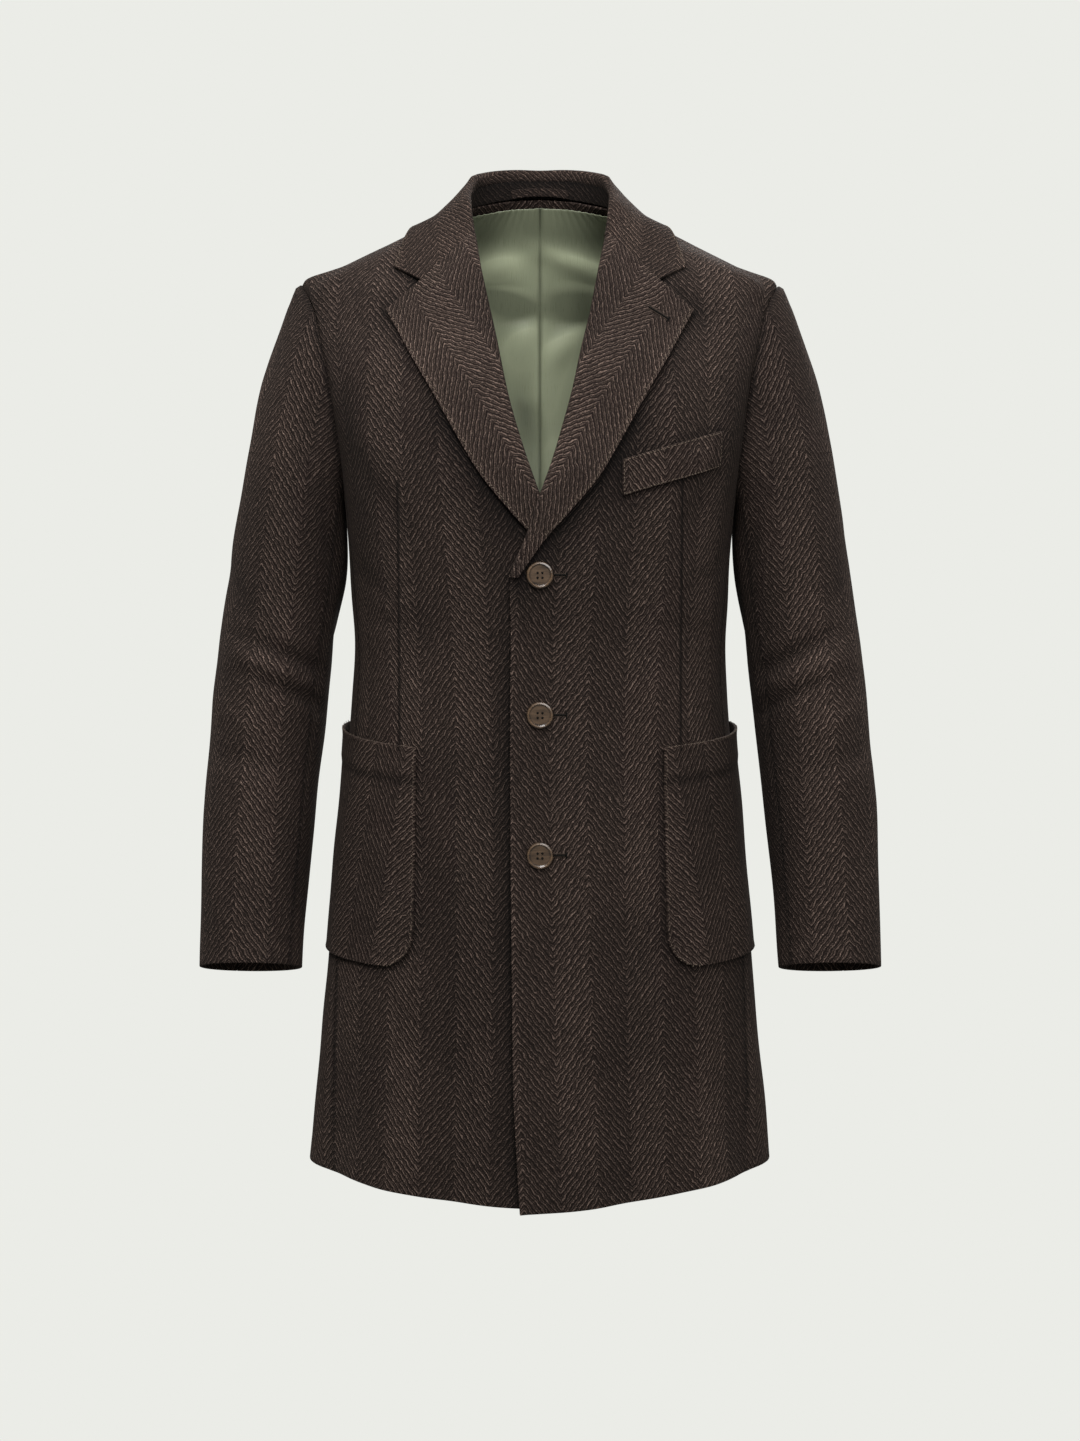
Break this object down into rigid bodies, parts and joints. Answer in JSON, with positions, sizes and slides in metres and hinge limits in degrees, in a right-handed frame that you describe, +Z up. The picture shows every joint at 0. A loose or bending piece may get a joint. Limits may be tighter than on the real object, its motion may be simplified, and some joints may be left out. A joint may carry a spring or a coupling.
{
  "type": "herringbone overcoat, single-breasted",
  "caption": "Single-breasted knee-length coat, filled out with no wearer: notched lapels, breast welt, two patch pockets, set-in sleeves and round buttons.",
  "frame": {"origin": "the point between the shoulders, level with the side neck points, where the wearer carries the coat", "axes": "+Z up, +X to the wearer's left, -Y to the front"},
  "size_m": [0.649, 0.3125, 0.9856],
  "materials": {
    "wool": "brushed herringbone wool",
    "lapel_wool": "brushed herringbone wool",
    "under_collar": "felted wool",
    "satin": "satin lining",
    "horn": "polished horn"
  },
  "bodies": {
    "root": {"front_left": "wool", "side_left": "wool", "back_left": "wool", "sleeve_top_left": "wool", "sleeve_under_left": "wool", "lapel_left": "lapel_wool", "patch_pocket_left": "wool", "lining_back_left": "satin", "front_right": "wool", "side_right": "wool", "back_right": "wool", "sleeve_top_right": "wool", "sleeve_under_right": "wool", "lapel_right": "lapel_wool", "patch_pocket_right": "wool", "lining_back_right": "satin", "collar": "lapel_wool", "collar_stand": "under_collar", "hanger_loop": "under_collar", "chest_welt": "wool", "button_1": "horn", "button_2": "horn", "button_3": "horn"}
  },
  "joints": []
}
